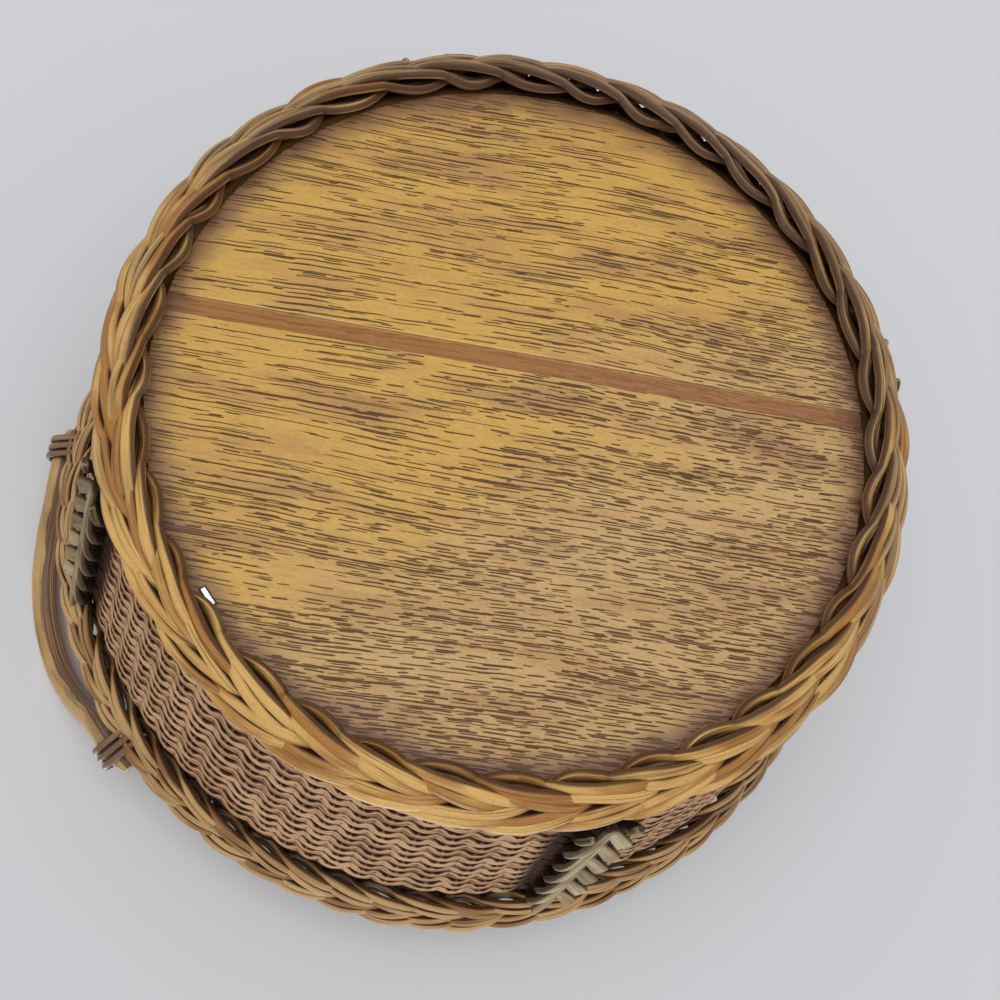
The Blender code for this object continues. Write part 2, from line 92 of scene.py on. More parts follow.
class Finish:
    """A stain, varnish or metal on the basket, kept as the shader nodes of one material."""

    def __init__(self, name, roughness, metallic=0.0, varnish=0.0, sheen=0.5):
        self.material = bpy.data.materials.new(name)
        self.material.use_nodes = True
        self.tree = self.material.node_tree
        self.shader = self.tree.nodes["Principled BSDF"]
        self.shader.inputs["Roughness"].default_value = roughness
        self.shader.inputs["Metallic"].default_value = metallic
        self.shader.inputs["Specular IOR Level"].default_value = sheen
        self.shader.inputs["Coat Weight"].default_value = varnish
        self.shader.inputs["Coat Roughness"].default_value = 0.25

    def feed(self, socket, value):
        if isinstance(value, Shade):
            self.tree.links.new(value.socket, socket)
        else:
            socket.default_value = value

    def node(self, kind, settings, sockets, output=0):
        """Adds a node: its settings first, then the values or links of its sockets."""
        made = self.tree.nodes.new(kind)
        for name, value in settings.items():
            setattr(made, name, value)
        for name, value in sockets.items():
            self.feed(made.inputs[name], value)
        return Shade(self, made.outputs[output])

    def reckon(self, operation, *values):
        return self.node("ShaderNodeMath", {"operation": operation}, dict(enumerate(values)))

    def place(self, turn=0.0, centre=(0.0, 0.0, 0.0)):
        """Places on the piece, in metres, measured from a centre and turned about the axis."""
        where = self.node("ShaderNodeTexCoord", {}, {}, "Object")
        sockets = {"Vector": where, "Location": centre, "Rotation": (0.0, 0.0, turn)}
        return self.node("ShaderNodeMapping", {"vector_type": "TEXTURE"}, sockets)

    def axes(self, where):
        """The three values of a place."""
        made = self.node("ShaderNodeSeparateXYZ", {}, {"Vector": where})
        return [Shade(self, socket) for socket in made.socket.node.outputs]

    def attribute(self, name):
        return self.node("ShaderNodeAttribute", {"attribute_name": name}, {}, "Fac")

    def lay(self, along, across, layer):
        """A place in a pattern from three values."""
        return self.node("ShaderNodeCombineXYZ", {}, {"X": along, "Y": across, "Z": layer})

    def stretch(self, where, steps):
        """A place in a pattern that repeats so many times a metre along each axis."""
        return self.node("ShaderNodeVectorMath", {"operation": "MULTIPLY"}, {0: where, 1: steps})

    def cloud(self, where, detail=2.0, roughness=0.5):
        """Soft noise about one half, with features one step wide."""
        sockets = {"Vector": where, "Scale": 1.0, "Detail": detail, "Roughness": roughness}
        return self.node("ShaderNodeTexNoise", {}, sockets)

    def fade(self, value, low, high):
        """0 below the low value, 1 above the high one, smooth between."""
        sockets = {"Value": value, "From Min": low, "From Max": high}
        return self.node("ShaderNodeMapRange", {"interpolation_type": "SMOOTHSTEP"}, sockets)

    def chance(self, across, along, layer):
        """An even random value for each whole-numbered place."""
        return self.node("ShaderNodeTexWhiteNoise", {}, {"Vector": self.lay(across, along, layer)})

    def dashes(self, along, across, length, pitch, thickness, amount, layer):
        """Thin strokes that lie in rows: 1 on a stroke, 0 off it, in an amount of their places."""
        rows = across * (1.0 / pitch)
        row = self.reckon("FLOOR", rows)
        slots = along * (1.0 / length) + self.chance(row, layer, 0.5) * 9.0
        slot = self.reckon("FLOOR", slots)
        first = self.chance(row, slot, layer + 1.5)
        second = self.chance(row, slot, layer + 2.5)
        third = self.chance(row, slot, layer + 3.5)
        off_middle = slots - slot - 0.5
        middle = first * 0.6 + 0.2 + off_middle * (second - 0.5) * 0.4
        end = 1.0 - self.fade(abs(off_middle) - second * 0.30, 0.08, 0.20)
        width = (0.5 + first) * end * (thickness / pitch)
        off_stroke = abs(rows - row - middle) - width
        soft_edge = 0.00009 / pitch
        stroke = 1.0 - self.fade(off_stroke, -soft_edge, soft_edge)
        return stroke * end * self.reckon("LESS_THAN", third, amount)

    def mix(self, first, second, share):
        """The first colour, with a share of the second in its place."""
        factor, colour_a, colour_b, mixed = 0, 6, 7, 2
        sockets = {factor: share, colour_a: first, colour_b: second}
        return self.node("ShaderNodeMix", {"data_type": "RGBA"}, sockets, mixed)

    def hollow(self, reach):
        """1 in the open, falling to 0 deep in a crevice."""
        return self.node("ShaderNodeAmbientOcclusion", {"samples": 8}, {"Distance": reach}, "AO")

    def cover(self, colour, height, depth):
        """Puts a colour and a relief of that depth on the surface."""
        self.feed(self.shader.inputs["Base Color"], colour)
        bump = self.node("ShaderNodeBump", {}, {"Height": height, "Distance": depth})
        self.feed(self.shader.inputs["Normal"], bump)


def tint(red, green, blue):
    """A colour as it looks on screen, from 0 to 255, as the light values that the shader takes."""
    linear = [((c / 255 + 0.055) / 1.055) ** 2.4 for c in (red, green, blue)]
    return (*linear, 1.0)


def around(turn):
    """The outward direction at an angle round the basket's axis."""
    return Vector((math.cos(turn), math.sin(turn), 0.0))


def along(turn):
    """The direction that runs round the basket at that angle."""
    return Vector((-math.sin(turn), math.cos(turn), 0.0))


UP = Vector((0.0, 0.0, 1.0))


def add_piece(name, bm, finish, slot, *nodes):
    """Makes a piece of the basket from a bmesh, in place of these CAD nodes."""
    bmesh.ops.recalc_face_normals(bm, faces=bm.faces)
    mesh = bpy.data.meshes.new(name)
    bm.to_mesh(mesh)
    bm.free()
    mesh.shade_smooth()
    mesh.set_sharp_from_angle(angle=math.radians(42.0))
    mesh.materials.append(finish.material)
    piece = bpy.data.objects.new(name, mesh)
    bpy.context.scene.collection.objects.link(piece)
    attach(piece, "root")
    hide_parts(*nodes)
    return piece


disc_low, disc_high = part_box("base_disc")
disc_radius = disc_high.x
disc_bottom = disc_low.z
disc_top = disc_high.z
groove_turn = math.radians(19.3)
groove_offset = -0.0200
groove_width = 0.0072
groove_depth = 0.0011
saw_marks = 720
saw_roughness = 0.00022
edge_round = 0.0004
staple_turn = math.radians(158.4)
staple_margin = 0.0032
staple_shadow_half_width = 0.0010
staple_shadow_half_length = 0.0034

bm = bmesh.new()
disc_sheet = disc_bottom + groove_depth
bmesh.ops.create_circle(bm, cap_ends=True, segments=saw_marks, radius=disc_radius)
saw = random.Random(5)
for vert in bm.verts:
    vert.co *= 1.0 - saw_roughness / disc_radius * saw.random() * 2.0
bmesh.ops.translate(bm, verts=bm.verts, vec=UP * disc_sheet)
for side in (-1.0, 1.0):
    edge = along(groove_turn) * (groove_offset + side * groove_width / 2) + UP * disc_sheet
    everything = bm.verts[:] + bm.edges[:] + bm.faces[:]
    bmesh.ops.bisect_plane(bm, geom=everything, plane_co=edge, plane_no=along(groove_turn))


def off_groove(point):
    """Whether a point of the disc's underside lies beside the groove, not in it."""
    return abs(point.dot(along(groove_turn)) - groove_offset) > groove_width / 2


faces = [face for face in bm.faces if off_groove(face.calc_center_median())]
grown = bmesh.ops.extrude_face_region(bm, geom=faces)["geom"]
lowered = [item for item in grown if isinstance(item, bmesh.types.BMVert)]
bmesh.ops.translate(bm, verts=lowered, vec=UP * -groove_depth)
rim = [edge for edge in bm.edges if edge.is_boundary]
grown = bmesh.ops.extrude_edge_only(bm, edges=rim)["geom"]
raised = [item for item in grown if isinstance(item, bmesh.types.BMVert)]
bmesh.ops.translate(bm, verts=raised, vec=UP * (disc_top - disc_sheet))
bmesh.ops.holes_fill(bm, edges=[edge for edge in bm.edges if edge.is_boundary])

ply = Finish("varnished_ply", 0.50, varnish=0.08, sheen=0.35)
where = ply.place(groove_turn)
u, v, _ = ply.axes(where)
bow = ply.cloud(ply.stretch(where, (5.0, 9.0, 0.0)), 1.0) - 0.5
quiver = ply.cloud(ply.stretch(where, (60.0, 30.0, 0.0)), 2.0) - 0.5
v_bent = v + bow * 0.014 + quiver * 0.0012
crowding = ply.cloud(ply.stretch(where, (16.0, 60.0, 0.0)), 2.0)
fine_side = ply.fade(u * 0.75 + v + bow * 0.05, -0.05, 0.09)
thick = 0.45 + ply.fade(crowding, 0.36, 0.60)
long_amount = (1.0 - fine_side * 0.70) * thick * 0.95
short_amount = (0.18 + fine_side * 0.82) * thick * 0.95
pore_kinds = (
    # shift across, length, pitch, thickness, amount, layer
    (0.0000, 0.0850, 0.0024, 0.00017, long_amount, 10.0),
    (0.0011, 0.0420, 0.0021, 0.00016, long_amount * 0.8, 20.0),
    (0.0000, 0.0165, 0.0016, 0.00018, short_amount, 30.0),
    (0.0008, 0.0105, 0.0014, 0.00017, short_amount, 40.0),
)
pores = 0.0
for shift, *pore_kind in pore_kinds:
    pores = ply.reckon("MAXIMUM", pores, ply.dashes(u, v_bent + shift, *pore_kind))
hair = ply.dashes(u, v_bent, 0.006, 0.0009, 0.00010, 0.6, 50.0)

flame = ply.cloud(ply.lay(u * 14.0, v_bent * 90.0, 0.0), 3.0, 0.6)
patch = ply.cloud(ply.stretch(where, (9.0, 18.0, 0.0)), 2.0)
speck = ply.cloud(ply.stretch(where, (700.0, 900.0, 0.0)), 2.0, 0.7)
pinker = ply.fade(fine_side + patch * 1.2, 0.70, 1.60)
wood = ply.mix(tint(204, 161, 78), tint(197, 160, 106), pinker)
wood = ply.mix(wood, tint(170, 124, 76), ply.fade(flame, 0.44, 0.70) * 0.62)
wood = ply.mix(wood, tint(150, 106, 78), ply.fade(crowding, 0.50, 0.70) * 0.50)
wood = ply.mix(wood, tint(216, 182, 112), ply.fade(speck, 0.52, 0.72) * 0.35)
wood = ply.mix(wood, tint(158, 114, 72), ply.fade(speck, 0.42, 0.30) * 0.35)
wood = ply.mix(wood, tint(160, 114, 70), hair * 0.40)
wood = ply.mix(wood, tint(76, 40, 16), pores * 0.95)

ragged = ply.cloud(ply.stretch(where, (250.0, 250.0, 0.0))) - 0.5
groove_edge = abs(v - groove_offset) + ragged * 0.0006
in_groove = 1.0 - ply.fade(groove_edge, groove_width / 2 - 0.0003, groove_width / 2 + 0.0001)
sawn = ply.cloud(ply.stretch(where, (500.0, 300.0, 100.0)), 3.0, 0.6)
groove_wood = ply.mix(tint(160, 108, 52), tint(158, 108, 68), ply.fade(u, -0.06, 0.08))
groove_wood = ply.mix(groove_wood, tint(142, 96, 60), ply.fade(sawn, 0.50, 0.75) * 0.5)
wood = ply.mix(wood, groove_wood, in_groove)
# Painted highlight along one edge of the groove.
groove_edge_highlight = ply.fade(abs(v - groove_offset + groove_width / 2), 0.0007, 0.0002)
wood = ply.mix(wood, tint(222, 186, 124), groove_edge_highlight * 0.6)

in_plane = {0: ply.lay(u, v, 0.0)}
radius = ply.node("ShaderNodeVectorMath", {"operation": "LENGTH"}, in_plane, "Value")
# Darker towards the disc's edge.
edge_waver = (ply.cloud(ply.stretch(where, (60.0, 160.0, 0.0)), 3.0) - 0.5) * 0.012
edge_darkening = ply.fade(radius + edge_waver, disc_radius - 0.013, disc_radius - 0.001)
wood = ply.mix(wood, tint(112, 76, 66), edge_darkening * 0.72)

# Painted shadow: a dark patch on the disc round the staple's crown.
spot = ply.place(staple_turn, around(staple_turn) * (disc_radius - staple_margin))
staple_u, staple_v, _ = ply.axes(spot)
staple_shadow = ply.reckon("MAXIMUM", abs(staple_u) - staple_shadow_half_width, abs(staple_v) - staple_shadow_half_length)
staple_shadow = 1.0 - ply.fade(staple_shadow, 0.0002, 0.0009)
wood = ply.mix(wood, tint(40, 26, 20), staple_shadow * 0.9)

# Painted shade, partly stain, where the disc tucks under the foot border.
tuck_shade_and_stain = 1.0 - ply.fade(ply.hollow(0.005), 0.25, 0.75)
wood = ply.mix(wood, tint(66, 38, 26), tuck_shade_and_stain * 0.7)
ply.cover(wood, 0.5 - pores * 0.5 - hair * 0.12 + sawn * in_groove * 0.3, 0.0005)
base_disc = add_piece("base_disc_sawn", bm, ply, "base_plywood", "base_disc")
bevel = base_disc.modifiers.new("eased_edges", "BEVEL")
bevel.width = edge_round
bevel.segments = 2
bevel.limit_method = "ANGLE"
bevel.angle_limit = math.radians(40.0)

# Base hoop
# A ring of split cane that lies on the disc inside the wall. The staple bites up into it and so
# holds the disc in the basket.

hoop_low, hoop_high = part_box("base_hoop")
hoop_width = 0.0135
hoop_steps = 240


def superellipse(x, y, squareness):
    """A point of a unit circle moved out towards a square's edge."""
    power = 1.0 - squareness
    return (
        math.copysign(abs(x) ** power, x),
        math.copysign(abs(y) ** power, y),
    )


straight_rods = {}


def straight_rod(sides, steps):
    """A straight rod of unit radius with a ring of points for each step, made once for each kind."""
    if (sides, steps) not in straight_rods:
        bm = bmesh.new()
        bmesh.ops.create_circle(bm, segments=sides, radius=1.0)
        bmesh.ops.spin(
            bm,
            geom=bm.verts[:] + bm.edges[:],
            cent=(0.0, 0.0, 0.0),
            axis=UP,
            dvec=UP,
            angle=0.0,
            steps=steps,
            use_merge=False,
            use_normal_flip=False,
            use_duplicate=False,
        )
        mesh = bpy.data.meshes.new("straight_rod")
        bm.to_mesh(mesh)
        bm.free()
        straight_rods[sides, steps] = mesh
    return straight_rods[sides, steps]


class Rods:
    """Rods and straps bent along their tracks and gathered into one piece.

    A track gives, for a share of its length, the middle, the outward direction, the half width,
    the half thickness and how deep in shade the rod lies, from 0 to 1."""

    def __init__(self):
        self.bm = bmesh.new()

    def add(self, track, steps, sides, tone, squareness=0.2, closed=False):
        """Bends one straight rod along a track. A rod that isn't closed gets capped ends."""
        marks = [track(step / steps) for step in range(steps + 1)]
        middles = [mark[0] for mark in marks]
        lengths = [0.0]
        for before, after in zip(middles, middles[1:]):
            lengths.append(lengths[-1] + (after - before).length)
        rings = []
        for step, (middle, out, half_width, half_thickness, shade) in enumerate(marks):
            before = middles[step - 1] if step else middles[-2 if closed else 0]
            after = middles[step + 1] if step < steps else middles[1 if closed else -1]
            tangent = (after - before).normalized()
            lift = (out - tangent * out.dot(tangent)).normalized()
            side = tangent.cross(lift) * half_width
            rings.append((middle, side, lift * half_thickness, shade))

        rod = bmesh.new()
        rod.from_mesh(straight_rod(sides, steps))
        self.mark_grain(rod, lengths)
        tone_layer = rod.verts.layers.float.new("tone")
        shade_layer = rod.verts.layers.float.new("shade")
        for vert in rod.verts:
            x, y, ring = vert.co
            middle, side, lift, shade = rings[round(ring)]
            across, out = superellipse(x, y, squareness)
            vert.co = middle + side * across + lift * out
            vert[tone_layer] = tone
            vert[shade_layer] = min(1.0, max(0.0, shade + max(0.0, -y) * 0.5))
        if closed:
            ends = [vert for vert in rod.verts if vert.is_boundary]
            bmesh.ops.remove_doubles(rod, verts=ends, dist=1e-6)
        else:
            edges = [edge for edge in rod.edges if edge.is_boundary]
            bmesh.ops.holes_fill(rod, edges=edges)
        mesh = bpy.data.meshes.new("bent_rod")
        rod.to_mesh(mesh)
        rod.free()
        self.bm.from_mesh(mesh)
        bpy.data.meshes.remove(mesh)

    def mark_grain(self, rod, lengths):
        """Writes the distance along the rod and the share of the way round it."""
        grain = rod.loops.layers.uv.new("grain")
        for face in rod.faces:
            corners = []
            for loop in face.loops:
                x, y, ring = loop.vert.co
                share = (math.atan2(x, -y) / math.tau) % 1.0
                corners.append((loop, lengths[round(ring)], share))
            wraps = max(c[2] for c in corners) - min(c[2] for c in corners) > 0.5
            for loop, length, share in corners:
                loop[grain].uv = (length, share + 1.0 if wraps and share < 0.5 else share)


def rod_finish(
    name, light, middle, dull, dark, roughness, varnish,
    greying=1.0, inner_face_colour=None, sheen=0.35, flank_shade=0.85,
):
    """A stained rod: its own tone, painted highlights on its ridges outside and inside, painted shade
    on its sides, long streaks, and painted shade, partly stain, in the crevices and where it lies
    under others.

    Greying is how much duller and greyer the rods are towards one side of the basket,
    inner_face_colour is the darker colour of the inner face, and flank_shade is how dark the painted
    shade on the sides is."""
    finish = Finish(name, roughness, varnish=varnish, sheen=sheen)
    grain = finish.node("ShaderNodeUVMap", {"uv_map": "grain"}, {})
    length, share, _ = finish.axes(grain)
    tone = finish.attribute("tone")
    shade = finish.attribute("shade")
    layer = tone * 61.0
    streak = finish.cloud(finish.lay(length * 22.0, share * 16.0, layer), 3.0, 0.65)
    thread = finish.cloud(finish.lay(length * 50.0, share * 46.0, layer + 5.0), 2.0, 0.6)
    blotch = finish.cloud(finish.lay(length * 34.0, share * 1.6, layer + 11.0), 2.0)
    speck = finish.cloud(finish.lay(length * 900.0, share * 30.0, layer + 23.0), 1.0)
    warm = finish.fade(blotch + (tone - 0.5) * 0.30, 0.36, 0.64)
    colour = finish.mix(middle, light, warm)
    # Duller and greyer towards one side of the basket.
    towards_warm_side, _, _ = finish.axes(finish.place(math.radians(130.0)))
    dulling = finish.cloud(finish.stretch(finish.place(), (17.0, 17.0, 17.0)), 2.0)
    dulling = dulling + (tone - 0.5) * 0.30 - towards_warm_side * (2.4 * greying)
    colour = finish.mix(colour, dull, finish.fade(dulling, 0.42, 0.66) * 0.85)
    # Painted highlights along each rod's ridge, outside and inside.
    off_ridge = abs(share - 0.5 + (blotch - 0.5) * 0.16)
    outer_ridge_highlight = finish.fade(off_ridge, 0.070, 0.02)
    inner_ridge_highlight = finish.fade(off_ridge, 0.40, 0.46)
    painted_ridge_highlight = finish.reckon("MAXIMUM", outer_ridge_highlight, inner_ridge_highlight)
    colour = finish.mix(colour, light, painted_ridge_highlight * warm * 0.75)
    colour = finish.mix(colour, dark, finish.fade(streak, 0.50, 0.70) * 0.66)
    colour = finish.mix(colour, light, finish.fade(thread, 0.54, 0.70) * 0.35)
    colour = finish.mix(colour, dark, finish.fade(speck, 0.66, 0.74) * 0.40)
    if inner_face_colour:
        line = finish.cloud(finish.lay(length * 9.0, share * 70.0, layer + 31.0), 2.0, 0.6)
        inner = finish.mix(inner_face_colour, dark, finish.fade(line, 0.50, 0.64) * 0.6)
        inner = finish.mix(inner, light, finish.fade(line, 0.44, 0.36) * 0.7)
        colour = finish.mix(colour, inner, finish.fade(off_ridge, 0.20, 0.215))
    else:
        # Painted shade on each rod's sides.
        sides = finish.fade(off_ridge, 0.12, 0.21) * finish.fade(off_ridge, 0.36, 0.28)
        colour = finish.mix(colour, dark, sides * flank_shade)
    # Painted shade, partly stain, in the crevices and wherever the track marks the rod as lying in
    # shade.
    crevice = 1.0 - finish.fade(finish.hollow(0.0065), 0.30, 0.85)
    deep = finish.reckon("MAXIMUM", crevice, finish.fade(shade, 0.30, 0.85))
    colour = finish.mix(colour, dark, deep * 0.92)
    finish.cover(colour, streak * 0.6 + thread * 0.4, 0.0004)
    return finish


golden = rod_finish(
    "golden_rod",
    light=tint(216, 172, 98),
    middle=tint(166, 112, 46),
    dull=tint(130, 100, 68),
    dark=tint(56, 25, 8),
    roughness=0.52,
    varnish=0.12,
)

hoop_middle = hoop_high.x - hoop_width / 2
hoop_half_height = (hoop_high.z - hoop_low.z) / 2


def hoop_track(share):
    turn = math.tau * share
    middle = around(turn) * hoop_middle + UP * (hoop_low.z + hoop_half_height)
    return middle, UP, hoop_width / 2, hoop_half_height, 0.15


hoop = Rods()
hoop.add(hoop_track, hoop_steps, sides=16, tone=0.6, squareness=0.45, closed=True)
add_piece("base_hoop_cane", hoop.bm, golden, "golden_rod", "base_hoop")

# Staple
# One narrow-crown staple of bright zinc wire, driven up through the disc near its edge. Only its
# flat crown shows, pressed a little into the darker wood near the edge, with a painted shadow round
# it.

zinc = Finish("bright_zinc", 0.28, metallic=1.0)
scratch = zinc.cloud(zinc.stretch(zinc.place(staple_turn), (1500.0, 300.0, 600.0)), 2.0)
zinc_colour = zinc.mix(tint(240, 240, 236), tint(205, 205, 205), zinc.fade(scratch, 0.45, 0.75))
zinc.cover(zinc_colour, scratch, 0.00003)
staple_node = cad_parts["staple"]
staple_node.data.materials.clear()
staple_node.data.materials.append(zinc.material)

# Foot border
# Three strands of golden willow rods, plaited round the disc's edge as a ring that leans out to
# the wall. Each strand is two pairs of rods, one a little behind the other. The basket stands on it.


class Wander:
    """A smooth irregular sway round the basket that meets itself again after a full turn."""

    def __init__(self, seed, size, lowest=3, highest=29, waves=6):
        chance = random.Random(seed)
        self.waves = []
        for _ in range(waves):
            reach = size * chance.uniform(0.4, 1.0) / math.sqrt(waves)
            count = chance.randint(lowest, highest)
            start = chance.uniform(0.0, math.tau)
            self.waves.append((count, start, reach))

    def at(self, turn):
        """The sway at an angle round the basket's axis."""
        return sum(reach * math.sin(count * turn + start) for count, start, reach in self.waves)


strand_shown = 0.62
plait_bundles = 6
plait_turn = math.radians(130.0)


def plait_lay(phase):
    """How a bundle of rods lies at a phase of its plait.

    Gives its place across the plait and out of it, from -1 to 1, and how full it shows. It shows
    on its slow way out to an edge and dives back under the next one."""
    half, share = divmod((phase / math.pi) % 2.0, 1.0)
    side = 1.0 - 2.0 * half
    if share < strand_shown:
        way = share / strand_shown
        swell = math.sin(math.pi * way)
        across = 0.35 * way + 0.65 * math.sin(math.pi / 2 * way)
        return side * across, swell**0.8, swell**0.6
    way = (share - strand_shown) / (1.0 - strand_shown)
    swell = math.sin(math.pi * way)
    return side * math.cos(math.pi / 2 * way), -swell, 0.8 * swell**0.6


def plait_track(lean, radius, height, swing, bulge, waves, start, bundle, rod):
    """The track of one rod in a bundle of a plait that is bent into a ring.

    A rod is how far it lies to the side and out from its bundle's middle, its half width, its half
    thickness and its seed."""
    across = (math.sin(lean), math.cos(lean))
    out = (math.cos(lean), -math.sin(lean))
    slide, raise_by, half_width, half_thickness, seed = rod
    sway = Wander(seed, 0.00050)
    lift_sway = Wander(seed + 1, 0.00030)
    lag = Wander(100 + bundle, 0.10, 2, 13)
    own_lag = Wander(seed + 3, 0.10, 3, 21)
    girth = Wander(seed + 2, 0.22, 5, 23)

    def track(share):
        turn = math.tau * share
        phase = waves * (turn - start) + math.tau * bundle / plait_bundles - plait_turn
        reach, rise, full = plait_lay(phase + lag.at(turn) + own_lag.at(turn))
        x = swing * reach + slide * (0.45 + 0.55 * full) + sway.at(turn)
        y = bulge * rise + raise_by + lift_sway.at(turn) - abs(slide) * 0.12
        middle = around(turn) * (radius + x * across[0] + y * out[0])
        middle += UP * (height + x * across[1] + y * out[1])
        middle.z = max(middle.z, half_width)
        lift = around(turn) * out[0] + UP * out[1]
        size = (1.0 + girth.at(turn)) * (0.72 + 0.28 * full)
        shade = 0.55 - 0.45 * full if rise < 0.0 else 0.62 - 2.0 * full
        return middle, lift, half_width * size, half_thickness * (0.6 + 0.4 * size), shade

    return track


foot_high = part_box("foot_border_strand_1")[1]
foot_disc_gap = 0.0008
foot_flat = 0.0005
foot_inset = 0.0002
foot_lean = math.radians(40.0)
foot_radius = (disc_radius + foot_disc_gap + foot_high.x) / 2 - foot_inset
foot_height = (foot_high.z - foot_flat) / 2
foot_swing = 0.0071
foot_bulge = 0.0039
foot_waves = 6
foot_start = 0.0
foot_steps = 540
foot_rods = (
    (-0.0020, 0.0, 0.0025, 0.0019),
    (0.0021, 0.0002, 0.0023, 0.0018),
)

for index in range(3):
    strand = Rods()
    for half in (0, 1):
        for number, rod in enumerate(foot_rods):
            seed = 1000 + index * 37 + half * 17 + number * 11
            track = plait_track(
                foot_lean, foot_radius, foot_height, foot_swing, foot_bulge, foot_waves,
                foot_start, 2 * index + half, (*rod, seed),
            )
            tone = random.Random(seed).uniform(0.05, 0.95)
            strand.add(track, foot_steps, 10, tone, 0.30, closed=True)
    name = f"foot_border_strand_{index + 1}"
    add_piece(f"foot_border_rods_{index + 1}", strand.bm, golden, "golden_rod", name)

# Wall
# Thirteen rows of a dull tan weaver packed outside and inside close upright stakes. The rows rise
# and fall in waves over the stakes, with short slots between them where they part. Painted shade
# darkens the slots, the rows' undersides and the wall beside the bands.

wall_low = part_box("woven_wall")[0]
wall_rows = 13
wall_columns = 84
column_steps = 11
row_pitch = 0.0087
wall_overhang = 0.0056
wall_flare = 0.0140
wall_thickness = 0.0082
wall_bottom = wall_low.z
wall_top = wall_bottom + wall_rows * row_pitch
wall_lean = math.atan(wall_flare / (wall_top - wall_bottom))
wall_foot_radius = foot_radius + wall_overhang
row_wave = 0.0013
row_swing = 0.0004
row_half_height = 0.0039
row_half_thickness = 0.0019


def wall_radius(height):
    """Outer radius of the wall at a height."""
    return wall_foot_radius + wall_flare * (height - wall_bottom) / (wall_top - wall_bottom)


def row_track(row, inset, seed):
    """The track of one row of weaver, which lies in soft waves and narrows between their crests."""
    sway = Wander(seed, 0.00035, 5, 60)
    lag = Wander(700, 0.5, 2, 17)
    local = Wander(seed + 1, 0.30, 3, 41)
    pinch = Wander(seed + 2, 0.22, 10, 84, 9)

    def track(share):
        turn = math.tau * share
        column = wall_columns * turn / 2 + lag.at(turn) + local.at(turn)
        crest = 0.5 + 0.5 * math.cos(2 * column + 0.5 * math.sin(2 * column))
        slope = math.sin(2 * column)
        height = wall_bottom + (row + 0.5) * row_pitch
        height += row_wave * (1.0 - 2.0 * crest) + sway.at(turn)
        parted = abs(slope) ** 1.3
        gap = (0.36 if slope > 0.0 else 0.28) + pinch.at(turn) * 0.5
        half_height = row_half_height * (1.0 - max(0.05, gap) * parted)
        radius = wall_radius(height) - row_half_thickness - inset
        radius += row_swing * (1.0 - 2.0 * crest)
        out = around(turn) * math.cos(wall_lean) - UP * math.sin(wall_lean)
        shade = min(1.0, parted * (0.8 + gap))
        return around(turn) * radius + UP * height, out, half_height, row_half_thickness, shade

    return track


def weaver_finish(name, light, middle, dark):
    """Dull weaver: fine grain along it, one paler edge, painted shade, partly stain, in its crevices,
    and painted shade under the rows, where they part and beside the bands.
    """
    finish = Finish(name, 0.85, sheen=0.1)
    grain = finish.node("ShaderNodeUVMap", {"uv_map": "grain"}, {})
    length, share, _ = finish.axes(grain)
    tone = finish.attribute("tone")
    parted = finish.attribute("shade")
    layer = tone * 83.0
    fibre = finish.cloud(finish.lay(length * 60.0, share * 44.0, layer), 3.0, 0.7)
    patch = finish.cloud(finish.lay(length * 45.0, share * 3.0, layer + 7.0), 2.0)
    crumb = finish.cloud(finish.lay(length * 700.0, share * 30.0, layer + 13.0), 2.0, 0.6)
    colour = finish.mix(middle, light, finish.fade(patch, 0.36, 0.64))
    colour = finish.mix(colour, dark, finish.fade(fibre, 0.52, 0.76) * 0.50)
    colour = finish.mix(colour, light, finish.fade(crumb, 0.52, 0.70) * 0.25)
    off_edge = abs(share - 0.45 + (patch - 0.5) * 0.04)
    colour = finish.mix(colour, light, finish.fade(off_edge, 0.032, 0.010) * 0.9)
    # Painted shade under each row, stronger where the rows part.
    under = finish.fade(share + (fibre - 0.5) * 0.08, 0.435, 0.395)
    slot = (finish.fade(parted + (patch - 0.5) * 0.6, 0.10, 0.60) * 0.40 + 0.60) * under
    # Painted shade, partly stain, in the crevices.
    crevice = 1.0 - finish.fade(finish.hollow(0.0060), 0.35, 0.88)
    deep = finish.reckon("MAXIMUM", crevice, slot)
    # Painted shade on the outer rows beside the four bands.
    x, y, _ = finish.axes(finish.place())
    off_band = finish.reckon("MINIMUM", abs(x), abs(y)) + (fibre - 0.5) * 0.006
    outward = finish.fade(abs(share - 0.5), 0.26, 0.22)
    deep = finish.reckon("MAXIMUM", deep, finish.fade(off_band, 0.0215, 0.0135) * outward)
    colour = finish.mix(colour, dark, deep * 0.95)
    finish.cover(colour, fibre * 0.7 + crumb * 0.3, 0.0004)
    return finish


weaver = weaver_finish("dull_weaver", tint(198, 157, 119), tint(128, 89, 57), tint(42, 19, 5))


def add_rows(name, inset, first_seed):
    """Weaves one face of the wall, so far in from its outer face, one row above the other."""
    rows = Rods()
    for row in range(wall_rows):
        track = row_track(row, inset, first_seed + row * 7)
        rows.add(track, wall_columns * column_steps, 8, row / wall_rows, 0.45, closed=True)
    add_piece(name, rows.bm, weaver, "weaver", "woven_wall")


add_rows("woven_rows_outer", 0.0, 3000)
add_rows("woven_rows_inner", wall_thickness - 2 * row_half_thickness, 4000)

